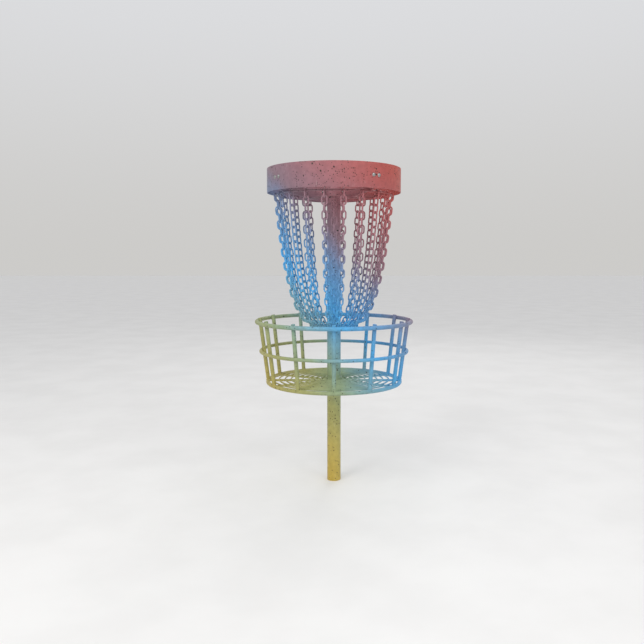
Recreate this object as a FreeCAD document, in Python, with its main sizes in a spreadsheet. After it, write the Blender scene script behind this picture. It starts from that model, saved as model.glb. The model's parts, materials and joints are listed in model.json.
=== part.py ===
import FreeCAD, Part
import math
import os
import Sketcher

# Disc golf basket: a pole that carries a sheet-metal band, a curtain of hanging chains and a
# wire cage. Millimetres, +Z up. The origin is the centre of the pole's lower end face, and the
# front of the basket looks along -Y.

V = FreeCAD.Vector
Z_AXIS = V(0, 0, 1)
Y_AXIS = V(0, 1, 0)

SIZES = {
    # pole
    "pole_diameter": 57.0,
    "pole_wall": 3.0,
    "pole_top": 1285.0,
    "socket_diameter": 52.0,
    "socket_depth": 120.0,
    "lock_hole_diameter": 10.5,
    "lock_hole_height": 60.0,
    "cap_lip": 4.0,
    "cap_rise": 9.0,
    "cap_edge": 1.5,
    "cap_plug_depth": 25.0,
    "cap_plug_wall": 3.0,
    # collars that clamp the hanger and the cage to the pole
    "collar_diameter": 69.0,
    "collar_clearance": 0.1,
    "collar_length": 60.0,
    "hanger_collar_base": 1165.0,
    "cage_collar_base": 384.0,
    "collar_bolt_diameter": 10.0,
    "collar_hole_diameter": 10.5,
    "collar_bolt_inset": 12.0,
    "collar_bolt_shank": 84.0,
    "collar_bolt_flats": 17.0,
    "collar_bolt_head": 6.4,
    "collar_nut_thickness": 8.4,
    # band
    "band_diameter": 552.0,
    "band_base": 1208.0,
    "band_height": 98.0,
    "band_sheet": 1.5,
    "band_hem": 6.0,
    "seam_gap": 0.6,
    "rivet_diameter": 5.0,
    "rivet_head": 9.0,
    "rivet_rise": 2.25,
    # hanger arms: flat bars that stand on edge
    "arm_thickness": 6.0,
    "arm_depth": 30.0,
    "arm_tip_radius": 248.0,
    "tab_thickness": 3.0,
    "tab_base": 1218.0,
    "tab_height": 60.0,
    "band_bolt_diameter": 6.0,
    "band_hole_diameter": 6.4,
    "band_bolt_head": 15.0,
    "band_bolt_rise": 3.3,
    "band_bolt_spare": 9.0,
    "band_nut_flats": 10.0,
    "band_nut_thickness": 5.1,
    "band_bolt_height": 1258.0,
    # rings that the chains hang from, and the ring that collects them
    "chain_ring_rod": 8.0,
    "outer_ring_radius": 237.0,
    "outer_ring_height": 1200.5,
    "inner_ring_radius": 120.0,
    "inner_ring_height": 1184.0,
    "collector_rod": 10.0,
    "collector_radius": 75.0,
    "collector_height": 655.0,
    # chain links
    "link_wire": 6.0,
    "link_inner_length": 29.0,
    "link_inner_width": 14.0,
    "link_play": 0.5,
    # cage
    "rim_rod": 17.0,
    "rim_radius": 321.5,
    "rim_height": 678.0,
    "mid_ring_rod": 14.0,
    "mid_ring_height": 555.0,
    "floor_rim_rod": 16.0,
    "floor_rim_radius": 277.0,
    "floor_height": 426.0,
    "rib_rod": 16.0,
    "rib_inset": 12.0,
    "rib_top": 691.0,
    "saddle_depth": 5.5,
    "weld_depth": 1.0,
    "spoke_rod": 10.0,
    "spoke_root": 33.0,
    "floor_ring_rod": 6.0,
    "floor_ring_first": 55.0,
    "floor_ring_pitch": 25.0,
}

OUTER_CHAIN_COUNT = 20
OUTER_CHAIN_LINKS = 21
INNER_CHAIN_COUNT = 4
INNER_CHAIN_LINKS = 19
FIRST_OUTER_CHAIN = 9.0
ARM_COUNT = 4
FIRST_ARM = 36.0
RIB_COUNT = 12
FLOOR_RING_COUNT = 9
BAND_SEAM = 180.0
STRAP_ANGLE = 8.4
RIVET_ANGLE = 2.2
RIVET_ROWS = (0.2, 0.5, 0.8)
TAB_ANGLE = 9.6
BAND_BOLT_ANGLE = 2.7
DRILL_OVERRUN = 5.0
DRILL_LENGTH = 25.0
HEX_BASE_CHAMFER = 1.04
HEX_TIP_CHAMFER = 0.90
END_PLAY = 1.5
HALVINGS = 100

doc = FreeCAD.newDocument("disc_golf_basket")
sheet = doc.addObject("Spreadsheet::Sheet", "Sizes")
for row, (alias, value) in enumerate(SIZES.items(), start=1):
    sheet.set("A%d" % row, alias)
    sheet.set("B%d" % row, str(value))
    sheet.setAlias("B%d" % row, alias)
doc.recompute()

nodes = []


def size(formula):
    """Value of a formula over the sheet's aliases."""
    return float(sheet.evalExpression(formula))


def bound(formula):
    """The same formula written for another object's expression."""
    return " ".join("Sizes." + word if word in SIZES else word for word in formula.split())


def turn(bearing):
    """Rotation that carries the +X half plane to a bearing, counted from the front."""
    return FreeCAD.Placement(V(0, 0, 0), FreeCAD.Rotation(Z_AXIS, bearing - 90.0))


def keep(item, label):
    """Give a sub-part its name and put it on the list of pieces to write."""
    item.Label = label
    nodes.append(item)
    return item


# ---------------------------------------------------------------- sketch and feature helpers

def new_body(name):
    return doc.addObject("PartDesign::Body", name)


def new_sketch(body, role, name):
    """Sketch on one of the body's own origin planes."""
    plane = next(item for item in body.Origin.OriginFeatures if item.Role == role)
    sketch = body.newObject("Sketcher::SketchObject", name)
    sketch.AttachmentSupport = (plane, "")
    sketch.MapMode = "FlatFace"
    return sketch


def pin_point(sketch, geometry, point, across, up):
    """Hold a point of a sketch at two formulas, measured from the origin."""
    for kind, formula in (("DistanceX", across), ("DistanceY", up)):
        if formula == "0":
            axis = -2 if kind == "DistanceX" else -1
            sketch.addConstraint(Sketcher.Constraint("PointOnObject", geometry, point, axis))
            continue
        index = sketch.addConstraint(
            Sketcher.Constraint(kind, -1, 1, geometry, point, size(formula)))
        sketch.setExpression("Constraints[%d]" % index, bound(formula))


def draw_outline(sketch, corners):
    """Closed outline of straight edges; each corner is a pair of formulas."""
    places = [V(size(across), size(up), 0) for across, up in corners]
    count = len(places)
    for index in range(count):
        sketch.addGeometry(Part.LineSegment(places[index], places[(index + 1) % count]), False)
    for index in range(count):
        sketch.addConstraint(
            Sketcher.Constraint("Coincident", index, 2, (index + 1) % count, 1))
    for index, (across, up) in enumerate(corners):
        pin_point(sketch, index, 1, across, up)


def draw_circle(sketch, across, up, diameter):
    centre = V(size(across), size(up), 0)
    index = sketch.addGeometry(Part.Circle(centre, Z_AXIS, size(diameter) / 2), False)
    pin_point(sketch, index, 3, across, up)
    dimension = sketch.addConstraint(Sketcher.Constraint("Diameter", index, size(diameter)))
    sketch.setExpression("Constraints[%d]" % dimension, bound(diameter))


def add_pad(body, sketch, length, centred=False):
    pad = body.newObject("PartDesign::Pad", sketch.Name + "_pad")
    pad.Profile = sketch
    pad.setExpression("Length", bound(length))
    if centred:
        pad.SideType = "Symmetric"
    return pad


def add_revolution(body, sketch, angle=360.0):
    """Turn a sketch about the pole's axis, half of the angle to each side."""
    revolution = body.newObject("PartDesign::Revolution", sketch.Name + "_turned")
    revolution.Profile = sketch
    revolution.ReferenceAxis = (sketch, ["V_Axis"])
    revolution.Angle = angle
    revolution.Midplane = angle < 360.0
    return revolution


def add_cut_through(body, sketch):
    """Cut a sketch right through the body, both ways."""
    pocket = body.newObject("PartDesign::Pocket", sketch.Name + "_cut")
    pocket.Profile = sketch
    pocket.SideType = "Symmetric"
    pocket.Type = "ThroughAll"
    return pocket


def add_ring(label, radius, rod, height):
    """Ring of round rod about the pole's axis."""
    ring = doc.addObject("Part::Torus", label)
    ring.setExpression("Radius1", bound(radius))
    ring.setExpression("Radius2", bound(rod + " / 2"))
    ring.setExpression("Placement.Base.z", bound(height))
    return keep(ring, label)


def add_cut(label, base, tool):
    """Base less a tool, as a piece of its own."""
    cut = doc.addObject("Part::Cut", label)
    cut.Base = base
    cut.Tool = tool
    return keep(cut, label)


def add_tool(name, shapes):
    """Plain shapes that other pieces are cut with; they are not pieces themselves."""
    tool = doc.addObject("Part::Feature", name)
    tool.Shape = Part.makeCompound(shapes)
    return tool


def add_group(label, shapes):
    """Several separate solids of one kind, kept as one node."""
    group = doc.addObject("Part::Feature", label)
    group.Shape = Part.makeCompound(shapes)
    return keep(group, label)


# ---------------------------------------------------------------- pole

def make_pole():
    """Tube with a reamed socket at its foot and cross holes for the lock and collar bolts."""
    body = new_body("pole")
    section = new_sketch(body, "XY_Plane", "pole_section")
    draw_circle(section, "0", "0", "pole_diameter")
    draw_circle(section, "0", "0", "pole_diameter - 2 * pole_wall")
    add_pad(body, section, "pole_top")

    socket = new_sketch(body, "XY_Plane", "pole_socket")
    draw_circle(socket, "0", "0", "socket_diameter")
    ream = body.newObject("PartDesign::Pocket", "pole_socket_cut")
    ream.Profile = socket
    ream.Reversed = True
    ream.setExpression("Length", bound("socket_depth"))

    holes = new_sketch(body, "YZ_Plane", "pole_cross_holes")
    draw_circle(holes, "0", "lock_hole_height", "lock_hole_diameter")
    for base in ("hanger_collar_base + collar_length - collar_bolt_inset",
                 "cage_collar_base + collar_bolt_inset"):
        draw_circle(holes, "0", base, "collar_hole_diameter")
    add_cut_through(body, holes)
    return keep(body, "pole")


def make_pole_cap():
    """Domed plug: a lip on the tube's end and a hollow spigot inside it."""
    body = new_body("pole_cap")
    outline = new_sketch(body, "XZ_Plane", "cap_outline")
    bore = "pole_diameter / 2 - pole_wall"
    draw_outline(outline, [
        ("0", "pole_top"),
        (bore + " - cap_plug_wall", "pole_top"),
        (bore + " - cap_plug_wall", "pole_top - cap_plug_depth"),
        (bore, "pole_top - cap_plug_depth"),
        (bore, "pole_top"),
        ("pole_diameter / 2", "pole_top"),
        ("pole_diameter / 2", "pole_top + cap_lip - cap_edge"),
        ("pole_diameter / 2 - cap_edge", "pole_top + cap_lip"),
        ("pole_diameter / 4", "pole_top + cap_rise - cap_edge"),
        ("pole_diameter / 8", "pole_top + cap_rise"),
        ("0", "pole_top + cap_rise"),
    ])
    add_revolution(body, outline)
    return keep(body, "pole_cap")


def make_collar(label, base, bolt_height):
    """Sleeve round the pole with one cross hole for its bolt."""
    body = new_body(label)
    outline = new_sketch(body, "XZ_Plane", label + "_outline")
    bore = "( pole_diameter + collar_clearance ) / 2"
    draw_outline(outline, [
        (bore, base),
        ("collar_diameter / 2", base),
        ("collar_diameter / 2", base + " + collar_length"),
        (bore, base + " + collar_length"),
    ])
    add_revolution(body, outline)
    hole = new_sketch(body, "YZ_Plane", label + "_hole")
    draw_circle(hole, "0", bolt_height, "collar_hole_diameter")
    add_cut_through(body, hole)
    return keep(body, label)


def hexagon(across_flats, thickness, bore=0.0):
    """Hexagonal head or nut with turned corners, from its seat up."""
    radius = across_flats / math.sqrt(3)
    corners = [
        FreeCAD.Rotation(Z_AXIS, 60.0 * side).multVec(V(radius, 0, 0)) for side in range(7)
    ]
    solid = Part.Face(Part.makePolygon(corners)).extrude(V(0, 0, thickness))
    turned = Part.makeCone(HEX_BASE_CHAMFER * radius, HEX_TIP_CHAMFER * radius, thickness)
    solid = solid.common(turned)
    if bore:
        solid = solid.cut(Part.makeCylinder(bore / 2, thickness))
    return solid


def dome(diameter, rise):
    """Round head with a flat seat at zero height."""
    radius = (diameter * diameter / 4 + rise * rise) / (2 * rise)
    ball = Part.makeSphere(radius, V(0, 0, rise - radius))
    return ball.common(Part.makeCylinder(diameter / 2, rise))


def stem(diameter, length):
    """Shank that hangs below a head's seat."""
    return Part.makeCylinder(diameter / 2, length, V(0, 0, 0), V(0, 0, -1))


def along_x(radius, height, outward=True):
    """Placement that stands a fastener on a seat at a radius, facing out or in."""
    tilt = 90.0 if outward else -90.0
    return FreeCAD.Placement(V(radius, 0, height), FreeCAD.Rotation(Y_AXIS, tilt))


def placed(shape, placement):
    copy = shape.copy()
    copy.Placement = placement
    return copy


def make_collar_fasteners():
    """One bolt and one nut through each collar and the pole, along X."""
    diameter = size("collar_bolt_diameter")
    flats = size("collar_bolt_flats")
    bolt = hexagon(flats, size("collar_bolt_head"))
    bolt = bolt.fuse(stem(diameter, size("collar_bolt_shank")))
    nut = hexagon(flats, size("collar_nut_thickness"), diameter)
    seat = size("collar_diameter / 2")
    heights = (
        size("hanger_collar_base + collar_length - collar_bolt_inset"),
        size("cage_collar_base + collar_bolt_inset"),
    )
    add_group("collar_bolts", [placed(bolt, along_x(seat, height)) for height in heights])
    add_group("collar_nuts", [placed(nut, along_x(-seat, height, False)) for height in heights])


# ---------------------------------------------------------------- band

def band_bolt_bearings():
    """Bearings of the bolts that hold the band to the arms, two to each arm."""
    arms = [FIRST_ARM + arm * 360.0 / ARM_COUNT for arm in range(ARM_COUNT)]
    return [arm + side * BAND_BOLT_ANGLE for arm in arms for side in (-1, 1)]


def rivet_places():
    """Bearing and height of each rivet, a row on each side of the seam."""
    base = size("band_base")
    height = size("band_height")
    return [
        (BAND_SEAM + side * RIVET_ANGLE, base + row * height)
        for side in (-1, 1)
        for row in RIVET_ROWS
    ]


def radial_drill(diameter, bearing, height):
    """Cylinder that drills the band and what is behind it, towards the pole."""
    outside = size("band_diameter / 2") + DRILL_OVERRUN
    drill = Part.makeCylinder(diameter / 2, DRILL_LENGTH, V(outside, 0, height), V(-1, 0, 0))
    return placed(drill, turn(bearing).multiply(drill.Placement))


def make_band_drills():
    """Holes for the arm bolts and the rivets, and the gap where the sheet's ends meet."""
    height = size("band_bolt_height")
    bolts = [
        radial_drill(size("band_hole_diameter"), bearing, height)
        for bearing in band_bolt_bearings()
    ]
    rivets = [
        radial_drill(size("rivet_diameter"), bearing, level) for bearing, level in rivet_places()
    ]
    gap = size("seam_gap")
    slit = Part.makeBox(DRILL_LENGTH, gap, 2 * size("band_height"))
    inside = size("band_diameter / 2") + DRILL_OVERRUN - DRILL_LENGTH
    corner = V(inside, -gap / 2, size("band_base - band_height / 2"))
    slit.Placement = turn(BAND_SEAM).multiply(FreeCAD.Placement(corner, FreeCAD.Rotation()))
    return (
        add_tool("arm_drills", bolts),
        add_tool("band_drills", bolts + rivets + [slit]),
        add_tool("strap_drills", rivets),
    )


def make_band(drills):
    """Rolled sheet with a folded hem along both edges."""
    body = new_body("band_sheet_body")
    outline = new_sketch(body, "XZ_Plane", "band_outline")
    outer = "band_diameter / 2"
    inner = outer + " - band_sheet"
    hem = outer + " - 2 * band_sheet"
    top = "band_base + band_height"
    draw_outline(outline, [
        (outer, "band_base"),
        (outer, top),
        (hem, top),
        (hem, top + " - band_hem"),
        (inner, top + " - band_hem"),
        (inner, "band_base + band_hem"),
        (hem, "band_base + band_hem"),
        (hem, "band_base"),
    ])
    add_revolution(body, outline)
    return add_cut("band", body, drills)


def make_seam_strap(drills):
    """Curved strip behind the seam, between the two hems."""
    body = new_body("strap_body")
    outline = new_sketch(body, "XZ_Plane", "strap_outline")
    outer = "band_diameter / 2 - band_sheet"
    inner = "band_diameter / 2 - 2 * band_sheet"
    draw_outline(outline, [
        (inner, "band_base + band_hem"),
        (outer, "band_base + band_hem"),
        (outer, "band_base + band_height - band_hem"),
        (inner, "band_base + band_height - band_hem"),
    ])
    add_revolution(body, outline, STRAP_ANGLE)
    body.Placement = turn(BAND_SEAM)
    return add_cut("band_seam_strap", body, drills)


def hollow_seat(radius, half_width):
    """Radius at which a flat seat of some width stands clear inside a curved face."""
    return math.sqrt(size(radius) ** 2 - half_width ** 2)


def make_band_fasteners():
    """Round-headed bolts and their nuts at the arms, and rivets at the seam."""
    diameter = size("band_bolt_diameter")
    height = size("band_bolt_height")
    outside = size("band_diameter / 2")
    flats = size("band_nut_flats")
    tab_face = hollow_seat("band_diameter / 2 - band_sheet - tab_thickness", flats / math.sqrt(3))
    bolt = dome(size("band_bolt_head"), size("band_bolt_rise"))
    bolt = bolt.fuse(stem(diameter, outside - tab_face + size("band_bolt_spare")))
    nut = hexagon(flats, size("band_nut_thickness"), diameter)
    bolts = []
    nuts = []
    for bearing in band_bolt_bearings():
        bolts.append(placed(bolt, turn(bearing).multiply(along_x(outside, height))))
        nuts.append(placed(nut, turn(bearing).multiply(along_x(tab_face, height, False))))
    add_group("band_bolts", bolts)
    add_group("band_nuts", nuts)

    head = size("rivet_head")
    rise = size("rivet_rise")
    grip = outside - hollow_seat("band_diameter / 2 - 2 * band_sheet", head / 2)
    flipped = FreeCAD.Placement(V(0, 0, -grip), FreeCAD.Rotation(Y_AXIS, 180))
    closed = placed(dome(head, rise), flipped)
    rivet = dome(head, rise).fuse([stem(size("rivet_diameter"), grip), closed])
    add_group("seam_rivets", [
        placed(rivet, turn(bearing).multiply(along_x(outside, level)))
        for bearing, level in rivet_places()
    ])


# ---------------------------------------------------------------- hanger

def underside(radius):
    """Height of the arms' lower edge, which runs through both chain rings."""
    rise = "( outer_ring_height - inner_ring_height )"
    run = "( outer_ring_radius - inner_ring_radius )"
    return "inner_ring_height + ( " + radius + " - inner_ring_radius ) * " + rise + " / " + run


def make_arm(number, tools):
    """Flat bar on edge, notched for the chain rings, with a curved tab that meets the band."""
    body = new_body("arm_body_%d" % number)
    bar = new_sketch(body, "XZ_Plane", "arm_bar_%d" % number)
    collar = "collar_diameter / 2"
    tab_outside = "band_diameter / 2 - band_sheet"
    tab_inside = tab_outside + " - tab_thickness"
    draw_outline(bar, [
        (collar, underside(collar)),
        ("arm_tip_radius", underside("arm_tip_radius")),
        (tab_inside, "tab_base"),
        (tab_inside, underside(tab_inside) + " + arm_depth"),
        (collar, underside(collar) + " + arm_depth"),
    ])
    add_pad(body, bar, "arm_thickness", centred=True)
    tab = new_sketch(body, "XZ_Plane", "arm_tab_%d" % number)
    draw_outline(tab, [
        (tab_inside, "tab_base"),
        (tab_outside, "tab_base"),
        (tab_outside, "tab_base + tab_height"),
        (tab_inside, "tab_base + tab_height"),
    ])
    add_revolution(body, tab, TAB_ANGLE)
    body.Placement = turn(FIRST_ARM + (number - 1) * 360.0 / ARM_COUNT)
    return add_cut("hanger_arm_%d" % number, body, tools)


# ---------------------------------------------------------------- chains

def make_link():
    """One welded oval link, its long axis along Z; the chains are made of copies of it."""
    body = new_body("link_pattern")
    path = new_sketch(body, "XZ_Plane", "link_path")
    side = size("( link_inner_width + link_wire ) / 2")
    half = size("( link_inner_length - link_inner_width ) / 2")
    path.addGeometry([
        Part.LineSegment(V(side, -half, 0), V(side, half, 0)),
        Part.Arc(V(side, half, 0), V(0, half + side, 0), V(-side, half, 0)),
        Part.LineSegment(V(-side, half, 0), V(-side, -half, 0)),
        Part.Arc(V(-side, -half, 0), V(0, -half - side, 0), V(side, -half, 0)),
    ], False)
    section = new_sketch(body, "XY_Plane", "link_section")
    draw_circle(section, "( link_inner_width + link_wire ) / 2", "0", "link_wire")
    pipe = body.newObject("PartDesign::AdditivePipe", "link_bar")
    pipe.Profile = section
    pipe.Spine = (path, [])
    return body


def chain_points(links, start_radius, start_height):
    """Points where the links of a hanging chain bear on each other, from its ring down.

    The chain hangs as a catenary between the centres of the ring's rod and the collector's.
    """
    end_radius = size("collector_radius")
    end_height = size("collector_height")
    pitch = size("link_inner_length - link_play")
    slack = END_PLAY * size("link_play")
    first = size("link_inner_length - chain_ring_rod / 2") - slack
    last = size("link_inner_length - collector_rod / 2") - slack
    length = first + (links - 2) * pitch + last
    span = start_radius - end_radius
    drop = start_height - end_height

    target = math.sqrt(length * length - drop * drop) / span
    low, high = 0.01, 20.0
    for _ in range(HALVINGS):
        middle = (low + high) / 2
        if math.sinh(middle) / middle < target:
            low = middle
        else:
            high = middle
    scale = span / (2 * low)
    lowest = (start_radius + end_radius) / 2 - scale * math.atanh(drop / length)
    base = end_height - scale * math.cosh((end_radius - lowest) / scale)

    end_arc = scale * math.sinh((end_radius - lowest) / scale)
    points = [V(start_radius, 0, start_height)]
    for joint in range(links - 1):
        arc = end_arc + length - first - joint * pitch
        radius = lowest + scale * math.asinh(arc / scale)
        points.append(V(radius, 0, base + scale * math.cosh((radius - lowest) / scale)))
    points.append(V(end_radius, 0, end_height))
    return points


def make_chain(label, link, links, ring_radius, ring_height, bearing):
    """Links in turn across and along the chain's plane, hung at a bearing."""
    points = chain_points(links, ring_radius, ring_height)
    half = size("link_inner_length / 2")
    play = size("link_play")
    top_grip = half - size("chain_ring_rod / 2") - play
    end_grip = half - size("collector_rod / 2") - play
    shapes = []
    for index in range(links):
        upper, lower = points[index], points[index + 1]
        direction = (lower - upper).normalize()
        centre = (upper + lower) * 0.5
        if index == 0:
            centre = upper + direction * top_grip
        if index == links - 1:
            centre = lower - direction * end_grip
        rotation = FreeCAD.Rotation(Z_AXIS, direction)
        if index % 2:
            rotation = rotation.multiply(FreeCAD.Rotation(Z_AXIS, 90))
        shapes.append(placed(link.Shape, FreeCAD.Placement(centre, rotation)))
    chain = add_group(label, shapes)
    chain.Placement = turn(bearing)
    return chain


# ---------------------------------------------------------------- cage

def make_ribs():
    """Straight rods from the floor rim up, inside the two upper rings and welded to them."""
    foot = V(size("floor_rim_radius"), 0, size("floor_height + saddle_depth"))
    head = V(size("rim_radius - rib_inset"), 0, size("rim_height"))
    lean = (head - foot).normalize()
    mid_radius = foot.x + lean.x / lean.z * (size("mid_ring_height") - foot.z)
    length = (size("rib_top") - foot.z) / lean.z
    mid_ring = doc.addObject("Part::Torus", "mid_ring")
    mid_ring.Radius1 = mid_radius + size("rib_inset")
    mid_ring.setExpression("Radius2", bound("mid_ring_rod / 2"))
    mid_ring.setExpression("Placement.Base.z", bound("mid_ring_height"))
    keep(mid_ring, "mid_ring")
    rings = doc.addObject("Part::Compound", "cage_rings")
    rings.Links = [floor_rim, mid_ring, top_rim]
    for number in range(RIB_COUNT):
        placement = turn(number * 360.0 / RIB_COUNT).multiply(
            FreeCAD.Placement(foot, FreeCAD.Rotation(Z_AXIS, lean)))
        rod = doc.addObject("Part::Cylinder", "rib_rod_%02d" % (number + 1))
        rod.setExpression("Radius", bound("rib_rod / 2"))
        rod.Height = length
        rod.Placement = placement
        add_cut("rib_%02d" % (number + 1), rod, rings)


def make_floor():
    """Spokes from the cage collar to the floor rim, with concentric rings laid on them."""
    level = size("floor_height + spoke_rod / 2 + floor_ring_rod / 2 - weld_depth")
    rings = [
        Part.makeTorus(
            size("floor_ring_first") + number * size("floor_ring_pitch"),
            size("floor_ring_rod / 2"), V(0, 0, level), Z_AXIS)
        for number in range(FLOOR_RING_COUNT)
    ]
    floor_rings = add_group("floor_rings", rings)
    neighbours = Part.makeCompound([cage_collar.Shape, floor_rim.Shape, floor_rings.Shape])
    start = size("spoke_root")
    reach = size("floor_rim_radius") - start
    spokes = []
    for number in range(RIB_COUNT):
        rod = Part.makeCylinder(
            size("spoke_rod / 2"), reach, V(start, 0, size("floor_height")), V(1, 0, 0))
        rod = placed(rod, turn(number * 360.0 / RIB_COUNT).multiply(rod.Placement))
        spokes.append(max(rod.cut(neighbours).Solids, key=lambda solid: solid.Volume))
    add_group("floor_spokes", spokes)


# ---------------------------------------------------------------- assembly

make_pole()
make_pole_cap()
make_collar("hanger_collar", "hanger_collar_base",
            "hanger_collar_base + collar_length - collar_bolt_inset")
cage_collar = make_collar("cage_collar", "cage_collar_base",
                          "cage_collar_base + collar_bolt_inset")
make_collar_fasteners()

arm_drills, band_drills, strap_drills = make_band_drills()
make_band(band_drills)
make_seam_strap(strap_drills)
make_band_fasteners()
arm_tools = doc.addObject("Part::Compound", "arm_tools")
arm_tools.Links = [
    add_ring("outer_chain_ring", "outer_ring_radius", "chain_ring_rod", "outer_ring_height"),
    add_ring("inner_chain_ring", "inner_ring_radius", "chain_ring_rod", "inner_ring_height"),
    arm_drills,
]
for arm in range(ARM_COUNT):
    make_arm(arm + 1, arm_tools)
add_ring("collector_ring", "collector_radius", "collector_rod", "collector_height")

floor_rim = add_ring("floor_rim", "floor_rim_radius", "floor_rim_rod", "floor_height")
top_rim = add_ring("top_rim", "rim_radius", "rim_rod", "rim_height")
link_pattern = make_link()
doc.recompute()
make_ribs()
make_floor()
for number in range(OUTER_CHAIN_COUNT):
    make_chain("outer_chain_%02d" % (number + 1), link_pattern, OUTER_CHAIN_LINKS,
               size("outer_ring_radius"), size("outer_ring_height"),
               FIRST_OUTER_CHAIN + number * 360.0 / OUTER_CHAIN_COUNT)
for number in range(INNER_CHAIN_COUNT):
    make_chain("inner_chain_%d" % (number + 1), link_pattern, INNER_CHAIN_LINKS,
               size("inner_ring_radius"), size("inner_ring_height"),
               number * 360.0 / INNER_CHAIN_COUNT)
doc.recompute()

for item in doc.Objects:
    if "Invalid" in item.State or "Error" in item.State:
        raise RuntimeError("%s failed: %s" % (item.Label, item.State))
os.makedirs("parts", exist_ok=True)
for item in nodes:
    shape = item.Shape
    if shape.isNull() or not shape.isValid():
        raise RuntimeError("%s has no valid shape" % item.Label)
    shape.exportStep("parts/%s.step" % item.Label)
    print("%-18s solids %3d  volume %10.0f mm3" % (item.Label, len(shape.Solids), shape.Volume))
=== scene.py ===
import json
import math
import random

import bmesh
import bpy
import numpy as np
from mathutils import Matrix, Vector, noise

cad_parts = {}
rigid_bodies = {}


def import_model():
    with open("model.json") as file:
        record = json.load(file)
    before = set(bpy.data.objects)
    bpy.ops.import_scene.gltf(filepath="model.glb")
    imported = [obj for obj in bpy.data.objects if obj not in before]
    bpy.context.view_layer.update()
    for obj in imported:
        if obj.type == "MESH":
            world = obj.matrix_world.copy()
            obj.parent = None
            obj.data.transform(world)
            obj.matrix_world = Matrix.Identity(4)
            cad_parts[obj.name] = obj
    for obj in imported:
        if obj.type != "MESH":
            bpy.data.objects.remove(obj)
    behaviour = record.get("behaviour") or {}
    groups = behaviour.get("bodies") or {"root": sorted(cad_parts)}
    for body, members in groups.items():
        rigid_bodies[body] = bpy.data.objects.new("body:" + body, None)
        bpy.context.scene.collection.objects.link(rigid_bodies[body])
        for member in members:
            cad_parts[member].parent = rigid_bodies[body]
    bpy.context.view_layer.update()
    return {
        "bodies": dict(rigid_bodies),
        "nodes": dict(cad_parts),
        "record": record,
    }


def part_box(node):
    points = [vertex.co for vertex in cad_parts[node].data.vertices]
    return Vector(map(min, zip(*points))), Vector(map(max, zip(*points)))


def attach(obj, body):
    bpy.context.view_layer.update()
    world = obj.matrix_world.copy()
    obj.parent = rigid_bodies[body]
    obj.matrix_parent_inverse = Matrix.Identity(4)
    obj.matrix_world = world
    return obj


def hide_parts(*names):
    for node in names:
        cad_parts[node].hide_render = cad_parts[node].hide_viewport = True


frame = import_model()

# Looks of a disc golf basket, in metres. Sizes are read from the frame's own boxes; the values
# named here are the ones that a box can't tell.

UP = Vector((0, 0, 1))
FRAME_BODY = "frame"
COLLECTOR_BODY = "collector"

# Pole and cap
WALL = 0.003
SOCKET_DEPTH = 0.120
SOCKET_REAMED = 0.0005
CAP_LIP = 0.004
LOCK_HEIGHT = 0.060
CROSS_HOLE = 0.00525

# Collars and the bolts through them
CAGE_BOLT_HEIGHT = 0.396
HANGER_BOLT_HEIGHT = 1.213
COLLAR_BOLT_RADIUS = 0.005
COLLAR_BOLT_FLATS = 0.017
COLLAR_BOLT_PITCH = 0.0015

# Band: sheet, seam, rivets and bolts. Bearings and angles are in degrees.
BAND_SHEET = 0.0015
BAND_HEM = 0.006
BAND_SEAM = 180.0
SEAM_GAP = 0.0006
RIVET_ANGLE = 2.2
RIVET_ROWS = (0.2, 0.5, 0.8)
RIVET_RADIUS = 0.0025
RIVET_HEAD = 0.0045
RIVET_RISE = 0.00225
BAND_BOLT_HEIGHT = 1.258
BAND_BOLT_ANGLE = 2.7
BAND_BOLT_RADIUS = 0.003
BAND_BOLT_PITCH = 0.0010
BAND_HOLE_RADIUS = 0.0032
BAND_BOLT_HEAD = 0.0075
BAND_BOLT_RISE = 0.0033
BAND_BOLT_SPARE = 0.009
BAND_NUT_FLATS = 0.010
BAND_NUT = 0.0051

# Hanger arms
ARM_COUNT = 4
FIRST_ARM = 36.0
ARM_HALF_THICKNESS = 0.003
ARM_DEPTH = 0.030
TAB_THICKNESS = 0.003
TAB_HEIGHT = 0.060

# Cage and its floor
RIB_COUNT = 12
RIB_ROD = 0.008
RIB_INSET = 0.012
RIB_TOP = 0.691
SADDLE_DEPTH = 0.0055
SPOKE_ROD = 0.005
FLOOR_FIRST = 0.055
FLOOR_RING_PITCH = 0.025

# Chain links, measured on the wire's centre line
LINK_WIRE = 0.003
LINK_BEND = 0.010
LINK_LEG = 0.0075

# Fasteners: points round a hexagon and round a shank, then a hexagon's seat radius over its
# width across flats and its chamfer over its thickness
HEXAGON_STEPS = 72
ROUND_STEPS = 36
SEAT_SHARE = 0.47
CHAMFER_SHARE = 0.13

# Radii of the weld beads, and the ripple that they share
ARM_WELD = 0.0019
HANG_WELD = 0.0015
RIB_WELD = 0.0019
FOOT_WELD = 0.0018
SPOKE_WELD = 0.0015
GRILLE_WELD = 0.0010
BEAD_RIPPLE = 0.14
BEAD_WOBBLE = 0.22
BEAD_PITCH = 0.0022

# Studio
WORLD_STRENGTH = 0.76
LIGHT_AIM = 0.85
FLOOR_REACH = 30.0
STONE = (0.80, 0.79, 0.77, 1.0)
WHITE = (1.0, 1.0, 1.0)

# Angle in degrees from which an edge is shaded sharp, where nothing else is said
CREASE = 32.0

random.seed(4)


# ---------------------------------------------------------------- measures

def outward(bearing):
    """Level direction away from the pole; bearings count from the front, anticlockwise."""
    angle = math.radians(bearing)
    return Vector((math.sin(angle), -math.cos(angle), 0))


def sideways(bearing):
    return UP.cross(outward(bearing))


def place(bearing, radius, height, across=0.0):
    """Point at a distance from the pole's axis, moved a little to one side of its bearing."""
    return outward(bearing) * radius + sideways(bearing) * across + UP * height


def half_width(node):
    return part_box(node)[1].x


def ring_measures(node):
    """Centre-line radius, height and rod radius of a ring node."""
    low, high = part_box(node)
    rod = (high.z - low.z) / 2
    return high.x - rod, (high.z + low.z) / 2, rod


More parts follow.
